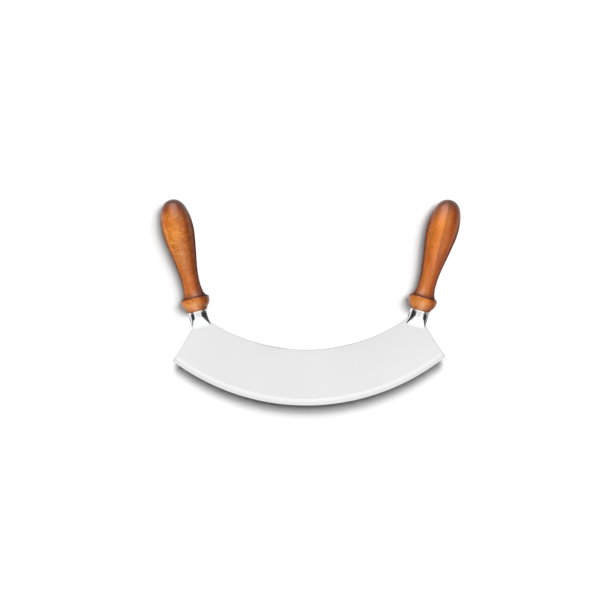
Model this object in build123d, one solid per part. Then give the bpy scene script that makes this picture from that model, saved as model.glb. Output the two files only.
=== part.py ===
from build123d import *
import os
from math import cos, radians, sin, sqrt

# A mezzaluna lying flat: a crescent blade with a handle at each upper corner.
# +X runs along the blade, +Y from the cutting edge to the handles, +Z is up.
# Lengths are in millimetres and angles in degrees.
# The pieces are drawn with the lowest point of the cutting edge at the start of X and
# Y, and the middle of the blade's thickness at the start of Z, then moved together.

# Blade
tip_span = 250.0          # straight across from tip to tip
edge_radius = 204.4       # sweep of the cutting edge
spine_radius = 161.8      # sweep of the back of the blade
blade_height = 51.2       # edge to back, in the middle
blade_thickness = 2.0
bevel_width = 5.8         # ground band along the cutting edge
edge_land = 0.2           # flat left on the cutting edge
end_angle = 31.6          # lean of each end of the blade, inwards from upright
ease = 0.3                # broken edge along the back and the ends
tip_radius = 0.8          # blunting of the two points

# Bolster
collar_radius = 9.15
collar_inset = 0.1        # how much slimmer the sloping part is than the rim
rim_height = 0.9          # bright band under the wood
rim_chamfer = 0.3
side_length = 14.0        # length of the collar's two sides
tongue_length = 16.8      # length of the collar down the middle of the blade
blend_length = 17.6       # where the sloping front and back would level out
blend_sink = 0.1          # how far under the blade's face they level out

# Tenon of the blade in the bolster
tenon_thickness = 1.0
tenon_width = 13.0
tenon_top = 7.5           # below the wood's foot
braze_gap = 0.05

# Tang
tang_radius = 3.0
tang_length = 70.0
tang_seat = 5.5           # depth in the bolster
tang_chamfer = 1.0
glue_gap = 0.1            # round the tang, in the wood
bore_spare = 2.0          # bore in the wood beyond the tang's end

# Handle, heights are above its foot
handle_length = 105.1
foot_radius = 8.9
bead_radius = 13.2
bead_height = 9.9
crest_radius = 12.95      # crisp upper rim of the bead
crest_height = 12.1
waist_radius = 8.05
waist_height = 26.5
bulge_radius = 14.4
bulge_height = 77.5

# Each handle as fitted by hand: its lean outwards from upright, and the place of the
# wood's foot, up and outwards from the corner where the blade's end and back would meet
lean_angle_left = 12.7
rise_left = 3.2
outset_left = 1.5
lean_angle_right = 16.7
rise_right = 1.1
outset_right = 2.8
fittings = {
    "left": (lean_angle_left, rise_left, outset_left),
    "right": (lean_angle_right, rise_right, outset_right),
}

# Shape of the handle between those sizes
bead_shares = ((0.28, 0.28), (0.77, 0.57))
cove_shares = ((0.55, 0.15), (0.80, 0.34))
swell_shares = ((0.11, 0.22), (0.42, 0.46), (0.735, 0.695))
dome_shares = ((0.965, 0.31), (0.845, 0.60), (0.65, 0.82))

# Slope of the bolster's front and back: share of the way down, share of the thinning
collar_shares = (
    (0.0, 0.0), (0.1, 0.002), (0.2, 0.009), (0.3, 0.032), (0.4, 0.09), (0.5, 0.226),
    (0.6, 0.433), (0.7, 0.653), (0.8, 0.845), (0.9, 0.963), (1.0, 1.0),
)

# Overrun of every cut
overrun = 3.0


# Blade outline, worked out from its sizes
def tip_place():
    """Return where the right tip lies."""
    half_span = tip_span / 2
    return half_span, edge_radius - sqrt(edge_radius**2 - half_span**2)


def corner_of_end_and_back():
    """Return where the right end of the blade would meet its back."""
    tip_x, tip_y = tip_place()
    run_x = -sin(radians(end_angle))
    run_y = cos(radians(end_angle))
    from_centre_y = tip_y - (blade_height + spine_radius)
    along = tip_x * run_x + from_centre_y * run_y
    beyond = tip_x**2 + from_centre_y**2 - spine_radius**2
    reach = -along - sqrt(along**2 - beyond)
    return tip_x + run_x * reach, tip_y + run_y * reach


def fitted(piece, side):
    """Move a piece from the handle's frame, X outwards and Y up the handle, to its side."""
    corner_x, corner_y = corner_of_end_and_back()
    lean_angle, rise, outset = fittings[side]
    lean = radians(lean_angle)
    foot_x = corner_x + outset * cos(lean) + rise * sin(lean)
    foot_y = corner_y - outset * sin(lean) + rise * cos(lean)
    piece = Location((foot_x, foot_y, 0), (0, 0, -lean_angle)) * piece
    if side == "left":
        piece = mirror(piece, about=Plane.YZ)
    return piece


# Footprint of the bolster on the blade
def collar_footprint(thickness):
    """Return the bolster's outline, this thick, in the handle's frame."""
    left_side = (-collar_radius, -side_length)
    right_side = (collar_radius, -side_length)
    outline = Polyline(left_side, (-collar_radius, 0), (collar_radius, 0), right_side)
    outline += ThreePointArc(right_side, (0, -tongue_length), left_side)
    return extrude(make_face(outline), thickness / 2, both=True)


def tenon_block(gap):
    """Return the tenon, or with a gap the slot for it, in the frame of the handle."""
    length = tongue_length + overrun - tenon_top + gap
    block = Box(tenon_width + 2 * gap, length, tenon_thickness + 2 * gap)
    return Pos(0, gap - tenon_top - length / 2, 0) * block


# Blade
def blade_outline():
    """Return the crescent between edge, ends and back."""
    tip_x, tip_y = tip_place()
    corner_x, corner_y = corner_of_end_and_back()
    outline = ThreePointArc((-tip_x, tip_y), (0, 0), (tip_x, tip_y))
    outline += Line((tip_x, tip_y), (corner_x, corner_y))
    outline += ThreePointArc((corner_x, corner_y), (0, blade_height), (-corner_x, corner_y))
    outline += Line((-corner_x, corner_y), (-tip_x, tip_y))
    return make_face(outline)


def bevel_cutter():
    """Return the ring that grinds the upper bevel along the cutting edge."""
    inner = edge_radius - bevel_width
    outer = edge_radius + overrun
    face = blade_thickness / 2
    land = edge_land / 2
    above = face + overrun
    profile = Polyline(
        (inner, 0, face),
        (edge_radius, 0, land),
        (outer, 0, land),
        (outer, 0, above),
        (inner, 0, above),
        close=True,
    )
    ring = revolve(make_face(profile), Axis.Z, 360)
    return Pos(0, edge_radius, 0) * ring


def eased_edges(plate):
    """Return the upper and lower edges of the plate's ends and back."""
    faces = plate.faces().sort_by(Axis.Z)
    outlines = faces[0].edges() + faces[-1].edges()
    ends = outlines.filter_by(GeomType.LINE)
    arcs = outlines.filter_by(GeomType.CIRCLE)
    back = ShapeList(arc for arc in arcs if arc.center().Y > blade_height / 2)
    return ends + back


def blade():
    """Return the blade with its bevels and tenons."""
    plate = extrude(blade_outline(), blade_thickness / 2, both=True)
    points = plate.edges().filter_by(Axis.Z).group_by(Axis.Y)[0]
    plate = fillet(points, tip_radius)
    cutter = bevel_cutter()
    plate = plate - cutter - mirror(cutter, about=Plane.XY)
    plate = chamfer(eased_edges(plate), ease)
    for side in fittings:
        seat = fitted(collar_footprint(blade_thickness + overrun), side)
        plate = plate - seat + fitted(tenon_block(0), side)
    return plate


# Bolster
def collar_body():
    """Return the collar, round under the rim and drawn down flat on the blade."""
    run = blend_length - rim_height
    radius = collar_radius - collar_inset
    level = blade_thickness / 2 - blend_sink
    sections = []
    for down, thinning in collar_shares:
        plane = Plane(
            origin=(0, -rim_height - run * down, 0), x_dir=(1, 0, 0), z_dir=(0, -1, 0)
        )
        half_thickness = radius + (level - radius) * thinning
        sections.append(plane * Ellipse(radius, half_thickness))
    return loft(sections)


def rim():
    """Return the plain round band under the wood."""
    band = extrude(Plane.XZ * Circle(collar_radius), rim_height)
    upper = band.edges().group_by(Axis.Y)[-1]
    return chamfer(upper, rim_chamfer)


def bolster():
    """Return a bolster in the frame of the handle."""
    body = collar_body() & collar_footprint(2 * collar_radius + overrun)
    body = body + collar_lips() + rim()
    seat = extrude(Plane.XZ * Circle(tang_radius), tang_seat)
    return body - tenon_block(braze_gap) - seat


def collar_lips():
    """Return the part of the bolster that is as thick as the blade."""
    below_rim = Box(2 * collar_radius, tongue_length, blade_thickness)
    below_rim = Pos(0, -rim_height - tongue_length / 2, 0) * below_rim
    return collar_footprint(blade_thickness) & below_rim


# Tang
def tang():
    """Return a tang in the frame of the handle."""
    rod = Pos(0, -tang_seat, 0) * extrude(Plane.XZ * Circle(tang_radius), -tang_length)
    return chamfer(rod.edges().group_by(Axis.Y)[-1], tang_chamfer)


# Handle
def between(start, end, shares):
    """Return the points at these shares of the way from start to end."""
    return [
        (start[0] + (end[0] - start[0]) * across, start[1] + (end[1] - start[1]) * up)
        for across, up in shares
    ]


def handle_profile():
    """Return the right half of the handle's outline."""
    foot = (foot_radius, 0)
    bead = (bead_radius, bead_height)
    crest = (crest_radius, crest_height)
    waist = (waist_radius, waist_height)
    bulge = (bulge_radius, bulge_height)
    outline = Line((0, 0), foot)
    outline += Spline(foot, *between(foot, bead, bead_shares), bead, crest)
    outline += Spline(crest, *between(crest, waist, cove_shares), waist, tangents=((-1, 1), (0, 1)))
    outline += Spline(waist, *between(waist, bulge, swell_shares), bulge, tangents=((0, 1), (0, 1)))
    dome = handle_length - bulge_height
    dome_points = [(bulge_radius * across, bulge_height + dome * up) for across, up in dome_shares]
    outline += Spline(bulge, *dome_points, (0, handle_length), tangents=((0, 1), (-1, 0)))
    outline += Line((0, handle_length), (0, 0))
    return make_face(outline)


def handle():
    """Return a handle in its own frame."""
    wood = revolve(handle_profile(), Axis.Y, 360)
    bore_depth = tang_length - tang_seat + bore_spare
    bore = extrude(Plane.XZ * Circle(tang_radius + glue_gap), -bore_depth)
    return wood - bore


# All pieces, with the origin under the middle of the object
def main():
    os.makedirs("parts", exist_ok=True)
    pieces = {"blade": blade()}
    for name, piece in (("bolster", bolster()), ("tang", tang()), ("handle", handle())):
        for side in fittings:
            pieces[f"{name}_{side}"] = fitted(piece, side)
    boxes = [piece.bounding_box() for piece in pieces.values()]
    low = [min(getattr(box.min, axis) for box in boxes) for axis in "XYZ"]
    high = [max(getattr(box.max, axis) for box in boxes) for axis in "XY"]
    move = Pos(-(low[0] + high[0]) / 2, -(low[1] + high[1]) / 2, -low[2])
    for name, piece in pieces.items():
        export_step(move * piece, f"parts/{name}.step")


main()
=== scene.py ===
# %% [markdown]
# # A mezzaluna with two turned handles
# A mezzaluna is a crescent of thin steel that is rocked over herbs with both hands. The solids
# of the blade, the two bolsters, the two tangs and the two handles are loaded first, and stay
# where they are. Every shape that follows is modelled in metres in that same frame: the object
# lies flat, +X runs along the blade, +Y from the cutting edge to the handles and +Z is up.
# It rests on the floor at a height of 0, with the middle of the blade 14.4 mm above it.

# %% Load the solids
import math

import bmesh
import bpy
from mathutils import Matrix, Vector, geometry


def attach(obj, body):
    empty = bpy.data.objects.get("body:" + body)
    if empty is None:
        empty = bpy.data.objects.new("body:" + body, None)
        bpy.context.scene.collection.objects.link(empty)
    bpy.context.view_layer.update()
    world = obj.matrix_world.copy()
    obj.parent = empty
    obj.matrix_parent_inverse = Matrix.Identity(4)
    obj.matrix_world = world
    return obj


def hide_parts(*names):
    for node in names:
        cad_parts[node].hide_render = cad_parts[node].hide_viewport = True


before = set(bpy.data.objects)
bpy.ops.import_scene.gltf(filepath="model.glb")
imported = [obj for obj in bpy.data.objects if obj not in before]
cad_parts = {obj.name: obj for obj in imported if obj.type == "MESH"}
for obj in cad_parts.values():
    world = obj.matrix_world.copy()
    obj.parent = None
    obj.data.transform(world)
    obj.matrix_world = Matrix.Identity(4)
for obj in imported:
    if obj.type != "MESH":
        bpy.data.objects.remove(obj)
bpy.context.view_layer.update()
mm = 0.001
print("solids:", ", ".join(sorted(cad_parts)))

# %% [markdown]
# ## Where things are
# Each handle is turned and fitted on its own, so the two lean outwards by different angles.
# They could be modelled where they stand, but sizes are hard to read along a leaning axis. So
# bolster and handle are modelled upright, with the wood's foot at the origin and the handle's
# axis on +Y, and one matrix for each side then carries the finished mesh to its place.

# %% Places of the two handles
middle_of_blade = Vector((-3.405, -95.36, 14.4)) * mm   # lowest point of the cutting edge
feet = {                                                # middle of the foot of each handle
    "left": Vector((-104.537, -7.572, 14.4)) * mm,
    "right": Vector((98.558, -10.115, 14.4)) * mm,
}
leans = {"left": math.radians(12.7), "right": math.radians(-16.7)}
place = {
    side: Matrix.Translation(feet[side]) @ Matrix.Rotation(leans[side], 4, "Z")
    for side in feet
}
for side in place:
    print(side, "handle leans", round(math.degrees(leans[side]), 1), "degrees")

# %% [markdown]
# ## From mesh to piece
# The modelling is done in bmesh, Blender's editable mesh, and each result becomes an object
# that sits at the origin, unturned and unscaled. It rides on the one rigid body and takes the
# place of the solid it stands for. It is shaded smooth, except across edges that bend by more
# than a given angle. Steel and wood are closed skins, in which each edge lies between two
# faces, so the edges where that fails are counted and printed.

# %% Turn a mesh into a piece
weld = 0.001 * mm                # points that are closer than this become one
sharp_angle = math.radians(35)


def open_edges(mesh):
    """Count the edges of a mesh that don't lie between two faces."""
    faces_at = {}
    for polygon in mesh.polygons:
        for key in polygon.edge_keys:
            faces_at[key] = faces_at.get(key, 0) + 1
    return sum(1 for faces in faces_at.values() if faces != 2)


def make_piece(name, mesh_data, matrix, node, sharp=sharp_angle):
    """Turn a bmesh into an object in its place and say which solid it stands for."""
    bmesh.ops.remove_doubles(mesh_data, verts=mesh_data.verts, dist=weld)
    bmesh.ops.recalc_face_normals(mesh_data, faces=mesh_data.faces)
    mesh_data.transform(matrix)
    for face in mesh_data.faces:
        face.smooth = True
    for edge in mesh_data.edges:
        if len(edge.link_faces) == 2:
            edge.smooth = edge.calc_face_angle() < sharp
    mesh = bpy.data.meshes.new(name)
    mesh_data.to_mesh(mesh)
    mesh_data.free()
    piece = bpy.data.objects.new(name, mesh)
    bpy.context.scene.collection.objects.link(piece)
    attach(piece, "root")
    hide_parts(node)
    print(f"{name}: {len(mesh.polygons)} faces, {open_edges(mesh)} open edges")
    return piece


print("edges are sharp from", round(math.degrees(sharp_angle)), "degrees")

# %% [markdown]
# ## The handles
# Each handle is a length of stained hardwood turned on a lathe, with a small foot, a rounded
# bead with one crisp rim, a hollow waist, a long swelling for the palm and a domed end. It
# could be sculpted from a cylinder, but a lathe cuts the same shape all round, so half of the
# outline says it all. A few places on it are given, and a soft curve joins them. The curve is
# made in two lengths, which meet in the bead's crisp rim.

# %% A soft line through a few places
def soft_line(points, steps, before=None, after=None):
    """Return a soft curve through the points, as the lathe tool would follow it."""
    points = [Vector(point) for point in points]
    before = Vector(before) if before else 2 * points[0] - points[1]
    after = Vector(after) if after else 2 * points[-1] - points[-2]
    around = [before, *points, after]
    line = []
    for number in range(1, len(around) - 2):
        previous, start, end, following = around[number - 1:number + 3]
        leave = start + (end - previous) / 6
        arrive = end - (following - start) / 6
        line += geometry.interpolate_bezier(start, leave, arrive, end, steps + 1)[:-1]
    return line + [points[-1]]


print("3 places, 5 steps each:", len(soft_line([(0, 0), (1, 1), (2, 0)], 5)), "points")

# %% Outline of a handle
handle_length = 105.1            # these sizes are in mm
foot_to_crest = [                # radius, and height above the foot
    (8.3, 0), (8.9, 0.5), (9.3, 1.3), (10.1, 2.8), (11.1, 4.05), (12.2, 5.7), (12.95, 7.7),
    (13.2, 9.9), (13.12, 11.5), (12.95, 12.1),
]
crest_to_top = [
    (12.6, 12.3), (11.6, 13.05), (10.25, 14.35), (9.05, 17.1), (8.25, 21.6), (8.05, 26.5),
    (8.25, 31.8), (8.75, 37.7), (9.63, 43.8), (10.72, 50.0), (11.75, 56.0), (12.72, 61.9),
    (13.85, 69.6), (14.4, 77.5), (13.9, 86.1), (12.17, 94.1), (9.36, 100.1), (5.1, 103.9),
    (0, handle_length),
]
over_the_top = (-5.1, 103.9)     # the dome goes on here, on the other side of the axis


def handle_outline():
    """Return the outline of a handle, radius and height, in metres."""
    bead = soft_line(foot_to_crest, 5)
    neck = soft_line(crest_to_top, 7, after=over_the_top)
    return [Vector((point.x, point.y, 0)) * mm for point in bead + neck]


outline = handle_outline()
widest = max(point.x for point in outline)
print("handle outline:", len(outline), "points, widest radius", round(widest / mm, 2), "mm")

# %% [markdown]
# ### Turning the wood
# The spin operator is the lathe: it carries the outline round the axis in steps and joins each
# step to the next. A Screw modifier could do the same, but the operator leaves a finished mesh
# at once. use_merge joins the last step to the first, and a point in the middle of the foot
# closes the skin.

# %% Spin the handles
steps_round = 96


def turned_handle():
    """Spin the outline once round the handle's axis and close its foot."""
    mesh_data = bmesh.new()
    middle = mesh_data.verts.new((0, 0, 0))
    line = [middle] + [mesh_data.verts.new(point) for point in outline]
    edges = [mesh_data.edges.new(pair) for pair in zip(line, line[1:])]
    bmesh.ops.spin(
        mesh_data, geom=line + edges, cent=(0, 0, 0), axis=(0, 1, 0),
        angle=2 * math.pi, steps=steps_round, use_merge=True, use_duplicate=False,
    )
    return mesh_data


handles = {
    side: make_piece(
        f"turned_handle_{side}", turned_handle(), place[side], f"handle_{side}")
    for side in place
}

# %% [markdown]
# ## The bolsters
# A bolster is the polished collar between wood and blade. It has a bright rim under the wood,
# with a fine groove below it, and is then forged flat towards the blade. Seen from its end it
# is a circle at the top and a thin rounded bar at the bottom. It could be cut from a block
# with booleans, but they leave hard edges on a surface that has none. So it is built up as a
# stack of rings, each a little flatter and squarer than the one above.

# %% Sizes of a bolster
collar_radius = 8.95 * mm
side_length = 14.0 * mm          # from the wood down each side of the collar
tongue_length = 17.0 * mm        # from the wood down the middle of the blade
rim_outline = [                  # radius of the rim, and depth below the wood, in mm
    (8.6, 0), (9.02, 0), (9.1, 0.04), (9.14, 0.12), (9.15, 0.25), (9.15, 0.6), (9.14, 0.88),
    (9.1, 1.02), (9.0, 1.13), (8.86, 1.2), (8.74, 1.25), (8.7, 1.3), (8.76, 1.36),
]
rim_height = 1.4 * mm            # the collar starts here
collar_stations = [              # depth below the wood, and half the thickness there, in mm
    (1.3, 8.95), (2.5, 8.94), (4.5, 8.87), (6.5, 8.6), (8.0, 8.05), (9.2, 7.25), (10.4, 6.2),
    (11.6, 5.1), (12.8, 4.0), (14.0, 2.95), (15.1, 2.02), (16.2, 1.35), (17.2, 1.02),
]
print("bolster:", round(tongue_length / mm, 1), "mm long,", len(collar_stations), "stations")

# %% [markdown]
# ### Shape of a ring
# Each ring is a superellipse, the outline that lies between an ellipse and a rectangle: a
# power of 2 gives an ellipse, and a higher one a bar with rounded corners. Two short rules
# give the thickness and the power at each depth, and a third gives the round lower end of the
# bolster, which the last ring follows.

# %% Rules for the rings
round_power = 2
bar_power = 6.5
bar_starts = 8.0 * mm            # depth at which the rings begin to turn into bars
collar_line = [point * mm for point in soft_line(collar_stations, 6)]


def collar_thickness(depth):
    """Return the collar's half thickness at this depth below the wood."""
    for start, end in zip(collar_line, collar_line[1:]):
        if depth <= end.x:
            return start.y + (end.y - start.y) * (depth - start.x) / (end.x - start.x)
    return collar_line[-1].y


def collar_power(depth):
    """Return how square the collar's outline is at this depth below the wood."""
    share = min(1, max(0, depth - bar_starts) / (tongue_length - bar_starts))
    return round_power + (bar_power - round_power) * share ** 2


def end_depth(x):
    """Return how deep the bolster's round lower end is at this place across it."""
    share = abs(x) / collar_radius
    return tongue_length - (tongue_length - side_length) * share ** 2


for down in (2, 8, 14):
    print("half thickness", down, "mm down:", round(collar_thickness(down * mm) / mm, 2), "mm")

# %% Rings of the rim and the collar
ring_corners = 160
collar_rings = 72
settling_rounds = 4              # a point's place across and its depth depend on each other


def rim_ring(mesh_data, radius, depth):
    """Add one round ring of the rim, at this depth below the wood."""
    ring = bmesh.ops.create_circle(mesh_data, segments=ring_corners, radius=radius)["verts"]
    for vert in ring:
        vert.co = (vert.co.x, -depth, vert.co.y)
    return ring


def collar_ring(mesh_data, share):
    """Add one ring of the collar, from 0 under the rim to 1 at the lower end."""
    ring = bmesh.ops.create_circle(mesh_data, segments=ring_corners, radius=1)["verts"]
    for vert in ring:
        angle = math.atan2(vert.co.y, vert.co.x)
        across, up = math.cos(angle), math.sin(angle)
        depth = rim_height
        for _ in range(settling_rounds):
            power = collar_power(depth)
            x = math.copysign(abs(across) ** (2 / power), across) * collar_radius
            depth = rim_height + (end_depth(x) - rim_height) * share
        z = math.copysign(abs(up) ** (2 / power), up) * collar_thickness(depth)
        vert.co = (x, -depth, z)
    return ring


print("rings:", len(rim_outline), "for the rim and", collar_rings + 1, "for the collar")

# %% [markdown]
# ### Joining the rings
# bridge_loops puts a band of faces between each ring and the next, and contextual_create
# closes the two ends. The finished points also keep how far down they lie, as a number named
# depth, which the steel's finish reads later on.

# %% Stack the rings and join them
def ring_edges(ring):
    """Return the edges of a ring."""
    return list({edge for vert in ring for edge in vert.link_edges})


def forged_bolster():
    """Stack the rings of the rim and the collar, join them and close the ends."""
    mesh_data = bmesh.new()
    rings = [rim_ring(mesh_data, radius * mm, depth * mm) for radius, depth in rim_outline]
    for number in range(collar_rings + 1):
        rings.append(collar_ring(mesh_data, number / collar_rings))
    loops = [ring_edges(ring) for ring in rings]
    for upper, lower in zip(loops, loops[1:]):
        bmesh.ops.bridge_loops(mesh_data, edges=upper + lower)
    for end in (loops[0], loops[-1]):
        bmesh.ops.contextual_create(mesh_data, geom=end)
    depth = mesh_data.verts.layers.float.new("depth")
    for vert in mesh_data.verts:
        vert[depth] = -vert.co.y / tongue_length
    return mesh_data


bolsters = {
    side: make_piece(
        f"forged_bolster_{side}", forged_bolster(), place[side], f"bolster_{side}")
    for side in place
}

# %% [markdown]
# ## The blade
# The blade is a crescent of 2 mm sheet, ground to a bevel nearly 6 mm wide along its cutting
# edge. Edge and back are arcs of different circles, and the two ends are straight. A boolean
# of two cylinders gives that outline, but with long thin faces that shade badly. So a flat
# grid is made instead, and its points are laid between the two arcs.

# %% Sizes of the blade
edge_radius = 204.4 * mm
back_radius = 161.8 * mm
blade_height = 51.2 * mm         # from the edge to the back, in the middle
half_span = 124.74 * mm          # from the middle to a point, which is slightly blunted
end_angle = math.radians(31.6)   # lean of each end, inwards from upright
blade_half = 1.0 * mm            # half the thickness of the sheet
bevel_width = 5.8 * mm
edge_land = 0.1 * mm             # half the thickness left at the cutting edge
broken_edge = 0.35 * mm          # radius of the rounding along the ends and the back
print("blade:", round(2 * half_span / mm, 1), "mm from point to point")

# %% Edge, back and corner
longest_end = 60 * mm            # the search for the corner stays within this
halvings = 40


def on_edge(x):
    """Return the height of the cutting edge at this place along the blade."""
    return edge_radius - math.sqrt(edge_radius ** 2 - x ** 2)


def on_back(x):
    """Return the height of the back at this place along the blade."""
    return blade_height + back_radius - math.sqrt(back_radius ** 2 - x ** 2)


def end_corner():
    """Return where the blade's end line meets its back, by halving."""
    low, high = 0, longest_end
    for _ in range(halvings):
        reach = (low + high) / 2
        x = half_span - reach * math.sin(end_angle)
        y = on_edge(half_span) + reach * math.cos(end_angle)
        low, high = (reach, high) if y < on_back(x) else (low, reach)
    return x


corner_x = end_corner()
print("blade corner at", round(corner_x / mm, 2), "mm from the middle")

# %% [markdown]
# ### Lines of the grid
# Faces need to be small where the shape bends, and may be long where it is flat. So the grid's
# lines crowd together along the ends, along the back and on both sides of the bevel's ridge,
# and spread out in between. Each point is then laid on the straight line from the edge to the
# back in its own column.

# %% Places of the grid's lines
near_outline = [0, 0.03, 0.09, 0.18, 0.27, 0.36, 0.8]        # mm in from an end or the back
rows_from_edge = [               # mm up from the cutting edge
    0, 0.6, 2.2, 4.0, 5.5, 5.72, 5.8, 5.88, 6.2, 9, 13, 18, 24, 31, 38,
]
rows_from_back = list(reversed(near_outline))
row_count = len(rows_from_edge) + len(rows_from_back)
inner_steps = 160
first_gap = 1.5                  # the even columns start this many times further in
end_shares = [step * mm / (half_span * math.cos(end_angle)) for step in near_outline]
inner_limit = 1 - end_shares[-1] * first_gap
even_steps = [2 * inner_limit * step / inner_steps for step in range(inner_steps + 1)]
columns = [-1 + share for share in end_shares]       # from -1 at the left end to 1
columns += [-inner_limit + step for step in even_steps]
columns += [1 - share for share in reversed(end_shares)]
print("blade grid:", len(columns), "by", row_count)


def lay_point(column, row):
    """Return the place of a grid point between the cutting edge and the back."""
    share = columns[column]
    start = Vector((share * half_span, on_edge(share * half_span), 0))
    end = Vector((share * corner_x, on_back(share * corner_x), 0))
    length = (end - start).length
    if row < len(rows_from_edge):
        along = rows_from_edge[row] * mm
    else:
        along = length - rows_from_back[row - len(rows_from_edge)] * mm
    return start + (end - start) * (along / length)


column_height = lay_point(len(columns) // 2, row_count - 1).y
print("column in the middle:", round(column_height / mm, 1), "mm high")

# %% [markdown]
# ### Bevel and broken edges
# The face falls evenly over the bevel to a thin cutting edge, and a small rounding breaks the
# other edges, as a wheel does on real steel. Bevel modifiers could round them, but here each
# point's height follows from its distance to the outline, so the ridge stays where it is
# measured. One face is shaped in that way, its outline is drawn down to the middle of the
# thickness, and a mirrored copy makes the other face.

# %% Height of the blade's face
def from_outline(point):
    """Return how far a place is inside the nearest of the ends and the back."""
    back = back_radius - (Vector((0, blade_height + back_radius, 0)) - point).length
    ends = (half_span - abs(point.x)) * math.cos(end_angle)
    ends -= (point.y - on_edge(half_span)) * math.sin(end_angle)
    return max(0, min(-back, ends))


def face_height(point):
    """Return the height of the blade's face above its middle, at this place."""
    from_edge = edge_radius - (Vector((0, edge_radius, 0)) - point).length
    share = min(1, max(0, from_edge / bevel_width))
    height = edge_land + (blade_half - edge_land) * share
    inside = max(0, broken_edge - from_outline(point))
    return height - min(height / 2, broken_edge - math.sqrt(broken_edge ** 2 - inside ** 2))


halfway_up_bevel = Vector((0, bevel_width / 2, 0))
print("half thickness in the bevel:", round(face_height(halfway_up_bevel) / mm, 2), "mm")

# %% Grind the blade
mirror_weld = 0.002 * mm         # the two halves are joined where they are closer than this


def grid_line(place_on_grid, lines):
    """Return the number of the grid's line at a place from -1, the first, to 1, the last."""
    return round((place_on_grid + 1) / 2 * (lines - 1))


def ground_blade():
    """Lay a grid between edge and back, shape its face and mirror it to the other face."""
    mesh_data = bmesh.new()
    grid = bmesh.ops.create_grid(
        mesh_data, x_segments=len(columns) - 1, y_segments=row_count - 1, size=1,
    )["verts"]
    for vert in grid:
        column, row = grid_line(vert.co.x, len(columns)), grid_line(vert.co.y, row_count)
        point = lay_point(column, row)
        vert.co = (point.x, point.y, face_height(point))
    rim = [edge for edge in mesh_data.edges if len(edge.link_faces) == 1]
    wall = bmesh.ops.extrude_edge_only(mesh_data, edges=rim)["geom"]
    for vert in [item for item in wall if isinstance(item, bmesh.types.BMVert)]:
        vert.co.z = 0
    bmesh.ops.mirror(
        mesh_data, geom=mesh_data.verts[:] + mesh_data.edges[:] + mesh_data.faces[:],
        axis="Z", merge_dist=mirror_weld,
    )
    return mesh_data


ridge_angle = math.radians(30)   # sharper than this, an edge of the blade is shaded sharp
blade = make_piece(
    "ground_blade", ground_blade(), Matrix.Translation(middle_of_blade), "blade",
    sharp=ridge_angle,
)

# %% [markdown]
# ## Finishes
# Every finish is made from procedural textures on object coordinates, so it needs no image and
# stays on its piece from all sides. Nodes can be added one by one, but a page of that hides the
# idea. A small class keeps the graphs readable: it adds a node and sets or links its inputs,
# and has short calls for the arithmetic, the noise and the colour ramps that come up again and
# again. It serves for materials and for the world alike.

# %% Node helpers
class Graph:
    """The nodes of a material or of the world, with short calls for what is used often."""

    def __init__(self, owner, shader):
        owner.use_nodes = True
        self.owner = owner
        self.tree = owner.node_tree
        self.shader = self.tree.nodes[shader]

    def feed(self, socket, value):
        if isinstance(value, bpy.types.NodeSocket):
            self.tree.links.new(value, socket)
        else:
            socket.default_value = value

    def set(self, **inputs):
        for key, value in inputs.items():
            self.feed(self.shader.inputs[key.replace("_", " ")], value)

    def node(self, kind, settings=None, **inputs):
        made = self.tree.nodes.new("ShaderNode" + kind)
        for key, value in (settings or {}).items():
            setattr(made, key, value)
        for key, value in inputs.items():
            self.feed(made.inputs[key.replace("_", " ")], value)
        return made

    def coordinates(self, kind="Object"):
        return self.node("TexCoord").outputs[kind]

    def mapped(self, where, **changes):
        return self.node("Mapping", Vector=where, **changes).outputs[0]

    def parts(self, vector):
        return self.node("SeparateXYZ", Vector=vector).outputs[:]

    def joined(self, x, y, z):
        return self.node("CombineXYZ", X=x, Y=y, Z=z).outputs[0]

    def noise(self, where, **settings):
        return self.node("TexNoise", Vector=where, **settings).outputs[0]

    def bump(self, height, strength, distance):
        return self.node("Bump", Height=height, Strength=strength, Distance=distance).outputs[0]

    def math(self, operation, *values):
        made = self.node("Math", {"operation": operation})
        for socket, value in zip(made.inputs, values):
            self.feed(socket, value)
        return made.outputs[0]

    def distance(self, x, y):
        squares = [self.math("MULTIPLY", part, part) for part in (x, y)]
        return self.math("SQRT", self.math("ADD", *squares))


print("node helpers:", *(name for name in vars(Graph) if not name.startswith("_")))

# %% Ramps, mixes and new finishes
class Finish(Graph):
    """The nodes of a new material, with colours."""

    def __init__(self, name):
        super().__init__(bpy.data.materials.new(name), "Principled BSDF")

    def ramp(self, value, *stops, smooth=False):
        made = self.node("ValToRGB", Fac=value)
        colours = made.color_ramp
        colours.interpolation = "B_SPLINE" if smooth else "LINEAR"
        while len(colours.elements) < len(stops):
            colours.elements.new(0.5)
        for element, (position, colour) in zip(colours.elements, stops):
            element.position = position
            element.color = colour if len(colour) == 4 else (*colour, 1)
        return made.outputs[0]

    def mix(self, share, first, second, blend="MIX"):
        made = self.node("Mix", {"data_type": "RGBA", "blend_type": blend})
        factor, first_colour, second_colour = made.inputs[0], made.inputs[6], made.inputs[7]
        self.feed(factor, share)
        self.feed(first_colour, first)
        self.feed(second_colour, second)
        return made.outputs[2]


def grey(value):
    """Return a grey of this strength."""
    return (value, value, value, 1)


def put_on(piece, finish):
    """Give a piece its finish, in place of any other."""
    piece.data.materials.clear()
    piece.data.materials.append(finish.owner)
    print(piece.name, "is", finish.owner.name)


print("middle grey:", grey(0.5))
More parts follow.
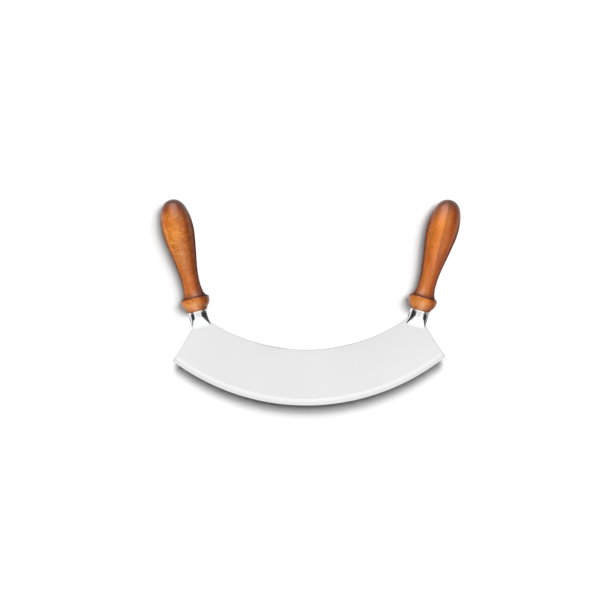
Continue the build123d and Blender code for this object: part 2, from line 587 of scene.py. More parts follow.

# %% [markdown]
# ### Polished steel
# The bolsters are polished like a mirror, and turn satin where they are ground into the blade.
# A plain mirror material would look drawn by computer, because real polish has faint hair
# lines and hazy spots. So noise varies the roughness and lifts the surface by hundredths of a
# millimetre, and the number named depth, kept in the mesh, lets the polish fade downwards. The
# rim is painted slightly warm, a painted reflection of the wood that lies against it, and the
# tone is painted darker towards the blade, painted shade that dims the bright reflection of the
# sloping end.

# %% Polished steel of the bolsters
hair_lines = (2600, 240, 900)    # how close the marks lie across, along and through
polish_ends = ((0.70, grey(0)), (0.98, grey(1)))     # by depth, from 0 to 1
mirror_rough, more_in_haze, more_in_satin = 0.07, 0.06, 0.22
# painted light in these tones: the warm rim is a painted reflection of the wood, and the darker
# lower end is painted shade
steel_tones_and_painted_light = (
    (0.06, (0.98, 0.93, 0.85)), (0.085, (0.80, 0.815, 0.83)), (0.70, (0.80, 0.81, 0.82)),
    (0.88, grey(0.73)), (1.0, grey(0.60)),
)


def polished_steel():
    """Return mirror-polished steel that turns satin where it is ground into the blade."""
    steel = Finish("polished bolster steel")
    where = steel.coordinates()
    depth = steel.node("Attribute", {"attribute_name": "depth"}).outputs["Fac"]
    satin = steel.ramp(depth, *polish_ends, smooth=True)
    marks = steel.noise(
        steel.mapped(where, Scale=hair_lines), Scale=1.0, Detail=3.0, Roughness=0.6)
    haze = steel.noise(where, Scale=160.0, Detail=2.0)
    rough = steel.math("MULTIPLY_ADD", haze, more_in_haze, mirror_rough)
    rough = steel.math("MULTIPLY_ADD", satin, more_in_satin, rough)
    steel.set(
        Base_Color=steel.ramp(depth, *steel_tones_and_painted_light), Metallic=1.0, Roughness=rough,
        Normal=steel.bump(marks, strength=0.05, distance=0.02 * mm))
    return steel


bolster_finish = polished_steel()
for side in bolsters:
    put_on(bolsters[side], bolster_finish)

# %% [markdown]
# ### Satin steel
# The blade is ground, not polished: fine lines cross its face from the edge to the back, and
# run lengthwise on the bevel. Straight lines from a stretched noise would cut across the curve
# of the blade. So each place is first measured from the centre of the edge's circle, how far
# along the arc and how far out, and the noise is stretched in those two directions.

# %% Places and lines along the blade's arc
face_lines_in_a_metre = 2400.0
bevel_lines_in_a_metre = 5200.0
line_squeeze = 0.02              # a line is 50 times as long as it is wide


def places_on_arc(steel):
    """Return x, y and z from the centre of the edge's circle, then how far along and out."""
    x, y, z = steel.parts(steel.mapped(
        steel.coordinates(),
        Location=(-middle_of_blade.x, -(middle_of_blade.y + edge_radius), -middle_of_blade.z),
    ))
    turn = steel.math("ARCTAN2", x, steel.math("MULTIPLY", y, -1.0))
    return x, y, z, steel.math("MULTIPLY", turn, edge_radius), steel.distance(x, y)


def grinding_lines(steel, along, reach, z, on_bevel):
    """Return fine lines that cross the face, and run lengthwise on the bevel."""
    squeezed_reach = steel.math("MULTIPLY", reach, line_squeeze)
    squeezed_along = steel.math("MULTIPLY", along, line_squeeze)
    face_lines = steel.noise(
        steel.joined(along, squeezed_reach, z), Scale=face_lines_in_a_metre, Detail=3.0,
        Roughness=0.6)
    bevel_lines = steel.noise(
        steel.joined(squeezed_along, reach, z), Scale=bevel_lines_in_a_metre, Detail=3.0,
        Roughness=0.6)
    return steel.mix(on_bevel, face_lines, bevel_lines)


print("lines on the face are about", round(1 / face_lines_in_a_metre / mm, 1), "mm wide")

# %% Painted shade along the ends and the back of the blade
outline_shade_width = 2.0 * mm
outline_shade_tones = ((0.0, grey(0.86)), (0.28, grey(0.90)), (0.75, grey(1.0)))


def painted_outline_shade(steel, x, y):
    """Return a band of painted shade along the ends and the back, for the shaded edge of the
    sheet.
    """
    from_centre = steel.math("ADD", y, edge_radius - (blade_height + back_radius))
    back = steel.math("SUBTRACT", steel.distance(x, from_centre), back_radius)
    inwards = steel.math("SUBTRACT", half_span, steel.math("ABSOLUTE", x))
    upwards = steel.math("ADD", y, edge_radius - on_edge(half_span))
    end = steel.math(
        "SUBTRACT", steel.math("MULTIPLY", inwards, math.cos(end_angle)),
        steel.math("MULTIPLY", upwards, math.sin(end_angle)))
    inside = steel.math("DIVIDE", steel.math("MINIMUM", back, end), outline_shade_width)
    return steel.ramp(inside, *outline_shade_tones)


# how wide the band of painted shade along the outline is
print("dull rim:", round(outline_shade_width * outline_shade_tones[-1][0] / mm, 1), "mm wide")

# %% Satin steel of the blade
ridge_blur = 0.4 * mm            # the bevel's finish starts softly over this width
face_tone, less_on_bevel = 0.864, -0.16
face_rough, smoother_on_bevel = 0.235, -0.05
# painted reflection: the upper right of the face is painted darker, as if it mirrored a darker
# part of the room
painted_dark_reflection = -0.06      # the face is a little darker there


def satin_steel():
    """Return satin steel whose grinding lines follow the curve of the blade."""
    steel = Finish("satin blade steel")
    x, y, z, along, reach = places_on_arc(steel)
    on_bevel = steel.ramp(
        steel.math("SUBTRACT", reach, edge_radius - bevel_width),
        (0.0, grey(0)), (ridge_blur, grey(1)))
    fine = grinding_lines(steel, along, reach, z, on_bevel)
    broad = steel.noise(steel.coordinates(), Scale=16.0, Detail=3.0)
    rough = steel.math(
        "ADD", steel.math("MULTIPLY", fine, 0.05),
        steel.math("MULTIPLY_ADD", broad, 0.08, face_rough))
    rough = steel.math("MULTIPLY_ADD", on_bevel, smoother_on_bevel, rough)
    tone = steel.math(
        "ADD", steel.math("MULTIPLY_ADD", fine, 0.025, face_tone),
        steel.math("MULTIPLY_ADD", broad, 0.05, -0.025))
    tone = steel.math("MULTIPLY_ADD", on_bevel, less_on_bevel, tone)
    # painted reflection: a darker area at the upper right of the face
    right = steel.ramp(x, (0.0, grey(0)), (0.115, grey(1)))
    high = steel.ramp(
        steel.math("SUBTRACT", edge_radius, reach), (0.012, grey(0)), (0.05, grey(1)))
    dark_reflection_area = steel.math("MULTIPLY", right, high)
    tone = steel.math("MULTIPLY_ADD", dark_reflection_area, painted_dark_reflection, tone)
    # painted shade along the ends and the back
    tone = steel.math("MULTIPLY", tone, painted_outline_shade(steel, x, y))
    colour = steel.node("CombineColor", Red=tone, Green=tone, Blue=tone).outputs[0]
    steel.set(
        Base_Color=colour, Metallic=1.0, Roughness=rough,
        Normal=steel.bump(fine, strength=0.01, distance=0.01 * mm))
    return steel


put_on(blade, satin_steel())

# %% [markdown]
# ### Plain steel
# The tangs are rods that nobody sees, hidden in the wood. They keep their solids and could
# keep a plain grey as well, but a rod from the mill has a mottled skin, and one noise in a
# ramp is all that it takes.

# %% Plain steel of the hidden tangs
def plain_steel():
    """Return the mottled grey of a rod as it comes from the mill."""
    steel = Finish("plain tang steel")
    skin = steel.noise(steel.coordinates(), Scale=300.0, Detail=4.0)
    steel.set(
        Base_Color=steel.ramp(skin, (0.3, grey(0.28)), (0.7, grey(0.4))),
        Metallic=1.0, Roughness=0.45)
    return steel


tang_finish = plain_steel()
for side in place:
    put_on(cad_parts[f"tang_{side}"], tang_finish)

# %% [markdown]
# ### Lacquered wood
# The handles are hardwood under a brown stain and an amber lacquer. The left one is curly: bars
# of light cross its grain. The right one is straight, with crisp growth rings. A texture that
# is wrapped round the handle would show a seam, but real grain runs through the wood and the
# lathe only lays it bare. So all patterns are made in space, on coordinates that lie along the
# handle: across it, up it and deep into it. Each handle has its own seed and so its own wood.

# %% Directions in a handle
class Wood(Finish):
    """The nodes of one handle's wood, with coordinates that lie along the handle."""

    def __init__(self, name, side, seed):
        super().__init__(name)
        from_foot = self.mapped(self.coordinates(), Location=-feet[side])
        self.spot = self.mapped(from_foot, Rotation=(0, 0, -leans[side]))
        self.across, self.up, self.deep = self.parts(self.spot)
        self.height = self.math("DIVIDE", self.up, handle_length * mm)
        self.seed = seed

    def grain(self, scale, shift=0.0, **settings):
        at = self.mapped(self.spot, Location=(shift, self.seed, shift), Scale=scale)
        return self.noise(at, Scale=1.0, **settings)

    def shaded(self, tone, shade, strength=1.0):
        return self.mix(strength, tone, shade, "MULTIPLY")


print("height runs from 0 to 1 over", handle_length, "mm")

# %% [markdown]
# ### Growth rings
# A growth ring has one dark line and grows paler away from it, up to the next dark line. So its
# tone is a saw, which climbs slowly and drops at once. A wave texture makes saws too, but the
# fraction of a steadily rising number is one already, and its ramp then shapes each ring. The
# rings lean a little and sway with a slow noise, because a tree is never quite straight.

# %% Growth rings
rings_in_a_metre = 44.0
ring_start = 10.0                # keeps the number positive on both sides of the axis
ring_lean = 0.045
sway, sway_middle = 0.004, -0.0062           # metres
crisp_ring = (
    (0.0, grey(0.56)), (0.03, grey(0.62)), (0.12, grey(0.80)), (0.30, grey(0.95)),
    (0.97, grey(1.12)), (1.0, grey(0.9)),
)
soft_ring = ((0.0, grey(0.9)), (0.3, grey(1.04)), (0.6, grey(0.92)), (1.0, grey(0.9)))


def growth_rings(wood, crisp):
    """Return the tone of the growth rings, soft below and this crisp higher up."""
    swayed = wood.math(
        "MULTIPLY_ADD", wood.grain((25, 9, 25), 0.7, Detail=1.0), sway, sway_middle)
    ring_x = wood.math(
        "ADD", wood.across, wood.math("MULTIPLY_ADD", wood.up, ring_lean, swayed))
    saw = wood.math("FRACT", wood.math("MULTIPLY_ADD", ring_x, rings_in_a_metre, ring_start))
    drawn = wood.ramp(wood.height, (0.30, grey(0)), (0.46, grey(crisp)))
    return wood.mix(
        drawn, wood.ramp(saw, *soft_ring, smooth=True), wood.ramp(saw, *crisp_ring))


print("growth rings are", round(1 / rings_in_a_metre / mm, 1), "mm wide")

# %% [markdown]
# ### Fibres, pores and curl
# Seen from close by, wood is made of short fibres and dark pores that lie along it. They could
# be scattered one by one, but noise that is squeezed across the handle and stretched along it
# looks the same from any distance. Curl is the opposite: bars that cross the grain and sag at
# the sides of the handle, with a few bright arcs in patches round the swelling.

# %% Fibres, streaks, flecks and pores
fibres_in_a_metre = (2400, 110, 2400)        # across, along and through the handle


def fine_grain(wood):
    """Return the patterns of the fine grain, by name."""
    pores = wood.grain((3400, 300, 3400), 0.9, Detail=1.0)
    return {
        "fibres": wood.grain(fibres_in_a_metre, Detail=4.0, Roughness=0.6),
        "streaks": wood.grain((620, 24, 620), 0.5, Detail=3.0),
        "flecks": wood.grain((900, 420, 900), 0.1, Detail=2.0),
        "pores": wood.ramp(pores, (0.62, grey(0)), (0.70, grey(1))),
    }


fibre_width, fibre_length = (1 / count / mm for count in fibres_in_a_metre[:2])
print("a fibre is about", round(fibre_width, 1), "by", round(fibre_length), "mm")

# %% Curl across the grain
curl_sag = -28.0                 # how fast the bars drop away from the handle's middle
bars_in_a_metre = (170.0, 560.0)             # side by side, and one above the other
wide_bars_in_a_metre = (85.0, 380.0)


def cross_grain(wood, in_a_metre, **settings):
    """Return noise in bars that cross the handle, with this many side by side and above."""
    beside, above = in_a_metre
    sag = wood.math("MULTIPLY", wood.math("MULTIPLY", wood.across, wood.across), curl_sag)
    sagged_up = wood.math("ADD", wood.up, sag)
    at = wood.joined(
        wood.math("MULTIPLY", wood.across, beside), wood.math("MULTIPLY", sagged_up, above),
        wood.seed)
    return wood.noise(at, Scale=1.0, **settings)


def curly_figure(wood):
    """Return the tone of the curl, and where its bright arcs lie."""
    bars = cross_grain(wood, bars_in_a_metre, Detail=2.0, Distortion=0.8)
    mottle = wood.ramp(bars, (0.34, grey(0.62)), (0.66, grey(1.30)), smooth=True)
    wide_bars = cross_grain(wood, wide_bars_in_a_metre, Detail=1.0, Distortion=0.4)
    arcs = wood.ramp(wide_bars, (0.485, grey(0)), (0.53, grey(1)), (0.575, grey(0)))
    islands = wood.grain((90, 60, 90), 0.2, Detail=1.0)
    patches = wood.ramp(islands, (0.32, grey(0)), (0.46, grey(1)))
    belly = wood.ramp(
        wood.height, (0.40, grey(0.15)), (0.55, grey(1)), (0.84, grey(1)), (0.92, grey(0)))
    return mottle, wood.math("MULTIPLY", wood.math("MULTIPLY", arcs, patches), belly)


print("bars of curl are about", round(1 / bars_in_a_metre[1] / mm, 1), "mm apart")

# %% Bare wood
wood_tones = (
    (0.28, (0.54, 0.24, 0.08)), (0.52, (0.78, 0.41, 0.13)), (0.74, (0.96, 0.64, 0.27)),
)
grain_shades = (                 # pattern, strength, then its darkest and lightest shade
    ("streaks", 0.3, (0.3, grey(0.80)), (0.7, grey(1.16))),
    ("fibres", 0.7, (0.25, grey(0.86)), (0.75, grey(1.12))),
    ("flecks", 0.5, (0.3, grey(0.84)), (0.7, grey(1.16))),
)
arc_colour, arc_strength = (1.0, 0.96, 0.62, 1), 0.85
pore_colour, pore_strength = (0.12, 0.06, 0.03, 1), 0.35
ring_strength = 0.85
mottle_always, mottle_by_curl = 0.3, 0.75


def bare_wood(wood, fine, crisp, curl):
    """Return the colour of the wood before it is stained."""
    tone = wood.ramp(wood.grain((60, 26, 60), 0.3, Detail=2.0), *wood_tones)
    tone = wood.shaded(tone, growth_rings(wood, crisp), ring_strength)
    for name, strength, darkest, lightest in grain_shades:
        tone = wood.shaded(tone, wood.ramp(fine[name], darkest, lightest), strength)
    mottle, arcs = curly_figure(wood)
    tone = wood.shaded(tone, mottle, mottle_always + mottle_by_curl * curl)
    tone = wood.mix(wood.math("MULTIPLY", arcs, arc_strength * curl), tone, arc_colour)
    in_pores = wood.math("MULTIPLY", fine["pores"], pore_strength)
    return wood.mix(in_pores, tone, pore_colour)


print("bare wood:", len(wood_tones), "tones,", len(grain_shades), "layers of fine grain")

# %% [markdown]
# ### Stain, painted shade and a painted highlight
# Stain soaks in unevenly, and the dome's end grain takes more of it. The same ramp also carries
# painted shade and painted sheen: the dark line at the foot and the darker waist hollow and
# dome are painted shade, and the lifted bead and the pinkish dome are painted sheen. One side
# of the swelling is painted lighter, a painted highlight, and the two sides of the handle are
# painted darker, painted shade that turns towards the shaded side. Each of these could be
# painted by hand, but all of them follow from the height on the handle and from the direction
# round it, so ramps on those two say it exactly.

# %% Stain, with painted shade and painted sheen, from the foot to the dome
# painted shade and sheen in these stops: the dark foot line and the darker waist hollow and
# dome are painted shade, the blue-lifted bead and pinkish dome are painted sheen
stain_shade_and_sheen_below = (
    (0.0, (0.30, 0.22, 0.22)), (0.008, (0.52, 0.50, 0.56)), (0.03, (0.62, 0.70, 0.86)),
    (0.07, (0.88, 1.14, 1.6)), (0.10, (0.94, 0.98, 1.1)), (0.114, (0.88, 0.78, 0.80)),
    (0.128, (0.94, 0.76, 0.94)), (0.17, (0.82, 0.68, 0.80)), (0.26, (0.74, 0.60, 0.62)),
)
stain_middle = (
    (0.36, (0.72, 0.58, 0.58)), (0.50, (0.76, 0.66, 0.62)), (0.63, (0.82, 0.75, 0.68)),
    (0.77, (0.98, 0.90, 0.84)),
)
stain_shade_and_sheen_above = (
    (0.86, (0.90, 0.80, 0.80)), (0.92, (0.80, 0.64, 0.70)), (0.965, (0.66, 0.50, 0.58)),
    (1.0, (0.46, 0.32, 0.42)),
)


def stain(wood, palm):
    """Return the stain up the handle, with painted shade and painted sheen in it, and its
    middle multiplied by palm.
    """
    middle = [(height, tuple(palm * part for part in shade)) for height, shade in stain_middle]
    return wood.ramp(wood.height, *stain_shade_and_sheen_below, *middle, *stain_shade_and_sheen_above)


print("stain:", len(stain_shade_and_sheen_below + stain_middle + stain_shade_and_sheen_above), "places from foot to dome")

# %% Painted highlight on the swelling and painted shade on the sides
# painted highlight, not wear: a lit band on one side of the swelling, starting this far from
# the axis
highlight_colour = (1.5, 1.72, 1.5, 1)
highlight_from = 0.014                # metres from the axis to the side where the wear starts
highlight_across = (
    (0.0, grey(0.3)), (0.004, grey(1)), (0.009, grey(1)), (0.014, grey(0.6)), (0.020, grey(0)),
)
# painted shade on the two sides of the handle
side_shade_tones = ((0.42, grey(1.0)), (0.72, (0.86, 0.75, 0.66)), (1.0, (0.52, 0.37, 0.32)))
nearly_axis = 0.001              # keeps the division below from running away at the axis


def painted_side_highlight(wood, highlight_strength):
    """Return where one side of the swelling is painted lighter, a painted highlight."""
    highlight_height = wood.ramp(
        wood.height, (0.50, grey(0)), (0.66, grey(highlight_strength)), (0.86, grey(highlight_strength)), (0.94, grey(0)))
    from_side = wood.math("ADD", wood.across, highlight_from)
    return wood.math("MULTIPLY", highlight_height, wood.ramp(from_side, *highlight_across))


def painted_side_shade(wood, turn):
    """Return painted shade on the two sides of the handle, turned by this angle towards its
    shaded side.
    """
    from_axis = wood.distance(wood.across, wood.deep)
    across_turned = wood.math(
        "ADD", wood.math("MULTIPLY", wood.across, math.cos(turn)),
        wood.math("MULTIPLY", wood.deep, math.sin(turn)))
    sideways = wood.math(
        "DIVIDE", wood.math("ABSOLUTE", across_turned),
        wood.math("MAXIMUM", from_axis, nearly_axis))
    return wood.ramp(sideways, *side_shade_tones)


# how far past the axis the painted highlight reaches
print("palm wear ends", round((highlight_across[-1][0] - highlight_from) / mm), "mm beyond the axis")

# %% [markdown]
# ### Lacquer
# Lacquer is a clear, slightly orange skin over the wood. Mixing a glossy shader with a dull
# one would do, but the Principled shader has a coat made for this: the coat is glossy and
# tinted, while the wood under it stays rough and keeps a little relief from its fibres and
# pores. Long streaks vary the gloss, as a brush does.

# %% Stained and lacquered wood of the handles
lacquer_tint = (0.90, 0.50, 0.20, 1)
fibre_relief, pore_relief = 0.35, 0.6
wood_rough, more_on_fibres = 0.5, 0.14
lacquer_rough, more_in_streaks = 0.22, 0.10


def lacquered_wood(side, name, seed, curl, crisp, turn, palm, highlight_strength):
    """Return stained and lacquered hardwood with its grain along the handle.

    curl and crisp say how strong the curl and the dark ring lines are, turn how far the painted
    side shade is turned round the axis, palm how light the swelling is, and the last how strong
    the painted highlight on one side of the swelling is.
    """
    wood = Wood(name, side, seed)
    fine = fine_grain(wood)
    tone = bare_wood(wood, fine, crisp, curl)
    tone = wood.shaded(tone, stain(wood, palm))
    # painted highlight on the lit side of the swelling
    tone = wood.shaded(tone, highlight_colour, painted_side_highlight(wood, highlight_strength))
    # painted shade on the sides of the handle
    tone = wood.shaded(tone, painted_side_shade(wood, turn))
    relief = wood.math(
        "SUBTRACT", wood.math("MULTIPLY", fine["fibres"], fibre_relief),
        wood.math("MULTIPLY", fine["pores"], pore_relief))
    wood.set(
        Base_Color=tone, Specular_IOR_Level=0.1,
        Roughness=wood.math("MULTIPLY_ADD", fine["fibres"], more_on_fibres, wood_rough),
        Normal=wood.bump(relief, strength=0.16, distance=0.05 * mm),
        Coat_Weight=1.0, Coat_IOR=1.5, Coat_Tint=lacquer_tint,
        Coat_Roughness=wood.math(
            "MULTIPLY_ADD", fine["streaks"], more_in_streaks, lacquer_rough))
    return wood


put_on(handles["left"], lacquered_wood(
    "left", "curly lacquered wood", seed=0.31, curl=0.9, crisp=0.0, turn=math.radians(27),
    palm=0.84, highlight_strength=0.75))
put_on(handles["right"], lacquered_wood(
    "right", "straight lacquered wood", seed=0.73, curl=0.2, crisp=1.0, turn=math.radians(22),
    palm=0.98, highlight_strength=0.3))

# %% [markdown]
# ## Floor
# The object lies on plain white boards. One large plane would do, but the blade's shadow falls
# towards the viewer and those of the handles fall to the left, so each needs lamps of its own.
# The floor is therefore two boards that meet level with the blade's two points, and each is
# lit by itself. Light Path makes both white to the camera and in reflections. Other light
# finds them grey, so that they throw little of it back at the object.

# %% Floor
floor_width = 24.0               # metres, as is the next
floor_reach = 12.0               # to the front and to the rear
floor_segments = 4
seen_white = 0.93
unseen_grey = 0.30
seam = -30 * mm                  # level with the two points of the blade


def flat_board(name, segments):
    """Return a board of one metre by one, which is no part of the object."""
    mesh_data = bmesh.new()
    bmesh.ops.create_grid(mesh_data, x_segments=segments, y_segments=segments, size=0.5)
    mesh = bpy.data.meshes.new(name)
    mesh_data.to_mesh(mesh)
    mesh_data.free()
    board = bpy.data.objects.new(name, mesh)
    bpy.context.scene.collection.objects.link(board)
    return board


def white_floor(name, low, high):
    """Return the part of the floor between two places along Y."""
    floor = flat_board(name, floor_segments)
    middle = Matrix.Translation((0, (low + high) / 2, 0))
    floor.data.transform(middle @ Matrix.Diagonal((floor_width, high - low, 1, 1)))
    paint = Finish(name)
    path = paint.node("LightPath")
    seen = paint.math("MAXIMUM", path.outputs["Is Camera Ray"], path.outputs["Is Glossy Ray"])
    paint.set(
        Base_Color=paint.mix(seen, grey(unseen_grey), grey(seen_white)),
        Roughness=1.0, Specular_IOR_Level=0.0)
    floor.data.materials.append(paint.owner)
    return floor


blade_floor = white_floor("blade_floor", -floor_reach, seam)
handle_floor = white_floor("handle_floor", seam, floor_reach)
print("floor:", blade_floor.dimensions.y, "and", handle_floor.dimensions.y, "m deep")

# %% [markdown]
# ## World
# Polished steel shows what is round it, so the world is made for its reflections. A picture of
# a studio could be wrapped round the scene, but three soft steps in the direction of a ray
# give the same with no image: a slight shade straight up, darkness at both sides, and a bright
# wall in front. Light Path then parts the uses: reflections see that studio, the camera sees
# plain white, and only a little even light falls on the object, because the lamps light it.

# %% World
all_round = 0.035                # what falls on the object from all sides
studio = bpy.data.worlds.new("studio")
bpy.context.scene.world = studio
air = Graph(studio, "Background")
path = air.node("LightPath")
sideways, forwards, upwards = air.parts(air.coordinates("Generated"))


def soft_step(value, low, high, at_low, at_high):
    """Blend from one strength to another while a direction's part goes from low to high."""
    return air.node(
        "MapRange", {"interpolation_type": "SMOOTHSTEP"}, Value=value, From_Min=low,
        From_Max=high, To_Min=at_low, To_Max=at_high).outputs[0]


def part_way(share, start, end):
    """Return the strength that lies this share of the way from start to end."""
    return air.math("ADD", start, air.math("MULTIPLY", share, air.math("SUBTRACT", end, start)))


overhead = soft_step(upwards, low=0.90, high=1.0, at_low=1.0, at_high=0.90)
beside = soft_step(
    air.math("ABSOLUTE", sideways), low=0.65, high=0.88, at_low=1.0, at_high=0.12)
in_front = soft_step(forwards, low=-0.5, high=-0.03, at_low=1.28, at_high=1.0)
mirrored = air.math("MULTIPLY", air.math("MULTIPLY", overhead, beside), in_front)
strength = part_way(path.outputs["Is Glossy Ray"], all_round, mirrored)
strength = part_way(path.outputs["Is Camera Ray"], strength, 1.0)
air.set(Color=grey(1), Strength=strength)
print("world:", len(air.tree.nodes), "nodes")

# %% [markdown]
# ## Lamps
# A sun lamp lights the whole floor evenly, and its angle says how soft the shadow is. One sun
# gives a shadow of one kind, but a real one is dark and narrow close to the object and fades
# further out. So each board has a near lamp, almost overhead, and a far lamp, which stands
# lower. Light linking says which objects a lamp lights and which throw a shadow in its light:
# the handles' board gets no shadow from the blade. A large soft box lights the object itself,
# and two more are seen only in the lacquer.

# %% Two kinds of lamp
def hang(name, lamp, direction):
    """Hang a lamp so that its light travels against this direction."""
    holder = bpy.data.objects.new(name, lamp)
    bpy.context.scene.collection.objects.link(holder)
    holder.rotation_mode = "QUATERNION"
    holder.rotation_quaternion = Vector(direction).to_track_quat("Z", "Y")
    return holder


def shadow_lamp(name, direction, irradiance, spread):
    """Add a wide, far lamp that gives the floor its light and the object's shadow."""
    lamp = bpy.data.lights.new(name, "SUN")
    lamp.energy, lamp.angle = irradiance, math.radians(spread)
    holder = hang(name, lamp, direction)
    holder.visible_glossy = False
    return holder


def soft_box(name, power, width, depth, position):
    """Add a rectangular soft lamp that faces the middle of the object."""
    lamp = bpy.data.lights.new(name, "AREA")
    lamp.shape = "RECTANGLE"
    lamp.size, lamp.size_y, lamp.energy = width, depth, power
    holder = hang(name, lamp, position)
    holder.location = position
    return holder


def group(name, objects):
    """Return a collection of these objects, as light linking asks for."""
    made = bpy.data.collections.new(name)
    for item in objects:
        made.objects.link(item)
    return made


blur = 2 * math.tan(math.radians(25) / 2)
print("a spread of 25 degrees blurs a shadow by", round(blur, 2), "mm for each mm of height")

# %% Lamps over the floor
blade_lamps = [
    shadow_lamp("near_blade_lamp", (0.04, 0.35, 1.0), irradiance=1.84, spread=27.5),
    shadow_lamp("far_blade_lamp", (0.04, 0.76, 1.0), irradiance=2.18, spread=22.5),
]
handle_lamps = [
    shadow_lamp("near_handle_lamp", (0.20, 0.15, 1.0), irradiance=1.74, spread=23),
    shadow_lamp("far_handle_lamp", (0.48, 0.26, 1.0), irradiance=1.52, spread=25),
]
handle_fill = shadow_lamp("handle_floor_fill", (0, 0, 1.0), irradiance=0.45, spread=20)
for lamp in blade_lamps:
    lamp.light_linking.receiver_collection = group(f"lit by {lamp.name}", [blade_floor])
for lamp in (*handle_lamps, handle_fill):
    lamp.light_linking.receiver_collection = group(f"lit by {lamp.name}", [handle_floor])
for lamp in handle_lamps:
    lamp.light_linking.blocker_collection = group(
        f"shadows of {lamp.name}", list(handles.values()))
handle_fill.light_linking.blocker_collection = group("shadows of the fill", [handle_floor])
print("over the floor:", *(lamp.name for lamp in (*blade_lamps, *handle_lamps, handle_fill)))

# %% Lamps on the object
pieces = [blade, *handles.values(), *bolsters.values()]
pieces += [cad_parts[f"tang_{side}"] for side in place]
object_key = soft_box(
    "soft_box", power=33.0, width=1.0, depth=1.0, position=(-0.16, -0.80, 1.20))
object_key.visible_glossy = False
object_key.light_linking.receiver_collection = group("lit by the soft box", pieces)
lacquer_lights = [
    soft_box(
        "rear_lacquer_light", power=11.0, width=1.0, depth=1.25, position=(-0.20, 0.95, 0.68)),
    soft_box(
        "front_lacquer_light", power=7.0, width=0.9, depth=1.1, position=(-0.10, -1.05, 0.55)),
]
for lamp in lacquer_lights:
    lamp.visible_diffuse = False
    lamp.light_linking.receiver_collection = group(
        f"lit by {lamp.name}", list(handles.values()))
print("on the object:", object_key.name, *(lamp.name for lamp in lacquer_lights))

# %% [markdown]
# ## Flags
# Polished metal in a white studio looks like white paper. So dark boards, called flags, are
# hung beside it, and their reflections draw its form. These flags show in reflections
# alone and cast no shadow, because they are no part of the object. A
# black plane would do, but its reflection ends in a hard line. Here the cloth fades out
# towards its edges, along a superellipse like those of the collar.

# %% A flag
flag_glow = 0.04                 # a real black cloth is never quite black
fade = ((0.78, grey(1)), (1.0, grey(0)))     # from the middle of the cloth to its edge
cloth_power = 4.0                # how square the faded outline is


def flag_cloth(name, crisp_top):
    """Return dark cloth that fades out at the edges of its board, or at all but the top."""
    cloth = Finish(name)
    across, along, _ = cloth.parts(cloth.coordinates())
    if crisp_top:
        along = cloth.math("MINIMUM", along, 0.0)
    powers = [
        cloth.math(
            "POWER", cloth.math("ABSOLUTE", cloth.math("MULTIPLY", part, 2.0)), cloth_power)
        for part in (across, along)
    ]
    from_middle = cloth.math("POWER", cloth.math("ADD", *powers), 1 / cloth_power)
    cloth.set(
        Base_Color=grey(0), Roughness=1.0, Specular_IOR_Level=0.0, Emission_Color=grey(1),
        Emission_Strength=flag_glow, Alpha=cloth.ramp(from_middle, *fade, smooth=True))
    return cloth


def flag(side, name, width, height, position, axis, crisp_top=False):
    """Hang a flag in the frame of one handle, turned a quarter round this axis."""
    board = flat_board(f"{side}_{name}", 1)
    turned = Matrix.Translation(position) @ Matrix.Rotation(math.radians(90), 4, axis)
    board.matrix_world = place[side] @ turned @ Matrix.Diagonal((width, height, 1, 1))
    board.data.materials.append(flag_cloth(board.name, crisp_top).owner)
    board.visible_camera = False
    board.visible_diffuse = False
    board.visible_shadow = False
    board.visible_transmission = False
    return board


print("a flag shows", round(100 * flag_glow), "% grey in a mirror")

# %% Flags beside the bolsters
flag_distance = 75 * mm
lowest_flag = -middle_of_blade.z - 10 * mm       # 10 mm below the floor
flag_top = -1.3                  # mm up the handle from the wood's foot
soft_spare = 1.12                # the flag is this many times longer, for its soft edges


def towards(side, part):
    """Return the sign of X, in a handle's frame, on its inner or its outer side."""
    return (1 if side == "left" else -1) * (1 if part == "inner" else -1)


def bolster_flag(side, part, steep, shallow, lower):
    """Hang a flag beside a bolster, between two angles from straight up, in degrees."""
    top = flag_distance / math.tan(math.radians(steep))
    bottom = max(flag_distance / math.tan(math.radians(shallow)), lowest_flag)
    where = (
        towards(side, part) * flag_distance, (lower + flag_top) / 2 * mm, (top + bottom) / 2)
    return flag(
        side, f"{part}_flag", (top - bottom) * soft_spare, (flag_top - lower) * mm, where, "Y",
        crisp_top=True)


flags = [
    bolster_flag("left", "inner", steep=32, shallow=114, lower=-44),
    bolster_flag("left", "outer", steep=50, shallow=98, lower=-36),
    bolster_flag("right", "inner", steep=34, shallow=99, lower=-44),
    bolster_flag("right", "outer", steep=58, shallow=130, lower=-44),
]
print("flags beside the bolsters:", *(board.name for board in flags))

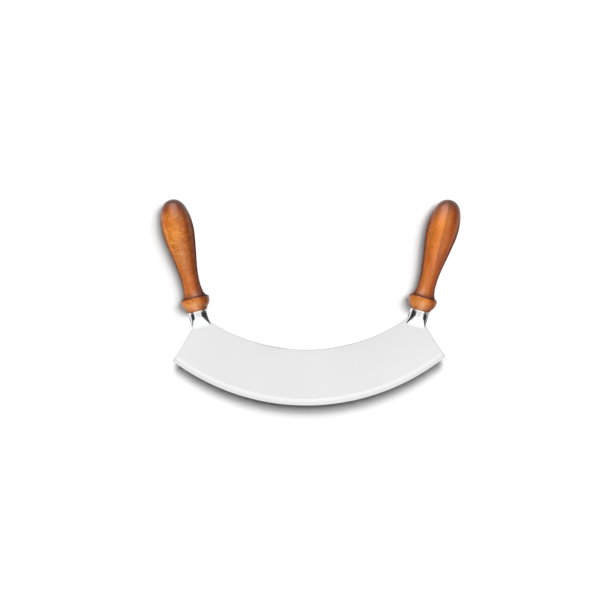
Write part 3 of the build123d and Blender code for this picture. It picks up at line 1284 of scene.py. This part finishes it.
# %% Flags on the floor
on_floor = 0.3 * mm - middle_of_blade.z          # 0.3 mm above the floor
card_width, card_length = 84 * mm, 124 * mm
card_middle = 54 * mm            # up the handle from the wood's foot


def floor_flag(side, part, label, near, far, lower, upper=1):
    """Lay a flag on the floor beside a bolster, to be seen in the edge of its round side."""
    where = (towards(side, part) * (near + far) / 2 * mm, (lower + upper) / 2 * mm, on_floor)
    return flag(
        side, f"{part}_{label}_floor_flag", (far - near) * mm, (upper - lower) * mm, where, "Z")


def handle_card(side):
    """Lay a dark card under a handle, to be seen in the edges of its lacquer."""
    return flag(side, "handle_card", card_width, card_length, (0, card_middle, on_floor), "Z")


floor_flags = [
    floor_flag("left", "inner", "far", near=27, far=100, lower=-40),
    floor_flag("left", "outer", "near", near=9.5, far=25, lower=-21),
    floor_flag("right", "inner", "near", near=9.5, far=25, lower=-21),
    floor_flag("right", "outer", "near", near=9.5, far=34, lower=-21),
    floor_flag("right", "outer", "far", near=22, far=100, lower=-40),
    handle_card("left"),
    handle_card("right"),
]
print("flags on the floor:", *(board.name for board in floor_flags))

# %% [markdown]
# ## Camera
# The object is seen from straight above, from so far away that its far and near parts look the
# same size. An orthographic camera would do that too, but a long lens two metres up keeps a
# trace of depth, as a real one does. The lens follows from the width of floor that the picture
# shows.

# %% Camera
camera_height = 2.0              # metres above the blade
camera_over = (-0.01088, 0.00122)
camera_turn = math.radians(-0.9)
picture_width = 600              # in dots
dot_width = 0.9151               # mm of floor that a dot shows


def look_down():
    """Add a long-lens camera straight above, turned a little."""
    view = bpy.data.cameras.new("camera")
    view.sensor_width = 36.0
    view.lens = view.sensor_width * camera_height / (picture_width * dot_width * mm)
    holder = bpy.data.objects.new("camera", view)
    bpy.context.scene.collection.objects.link(holder)
    holder.location = (*camera_over, middle_of_blade.z + camera_height)
    holder.rotation_euler = (0, 0, camera_turn)
    return holder


camera = look_down()
bpy.context.scene.camera = camera
bpy.context.scene.view_settings.view_transform = "Standard"
print("lens:", round(camera.data.lens, 1), "mm")

# %% [markdown]
# ## Sizes
# The new meshes should fill the same box as the solids that they stand for.
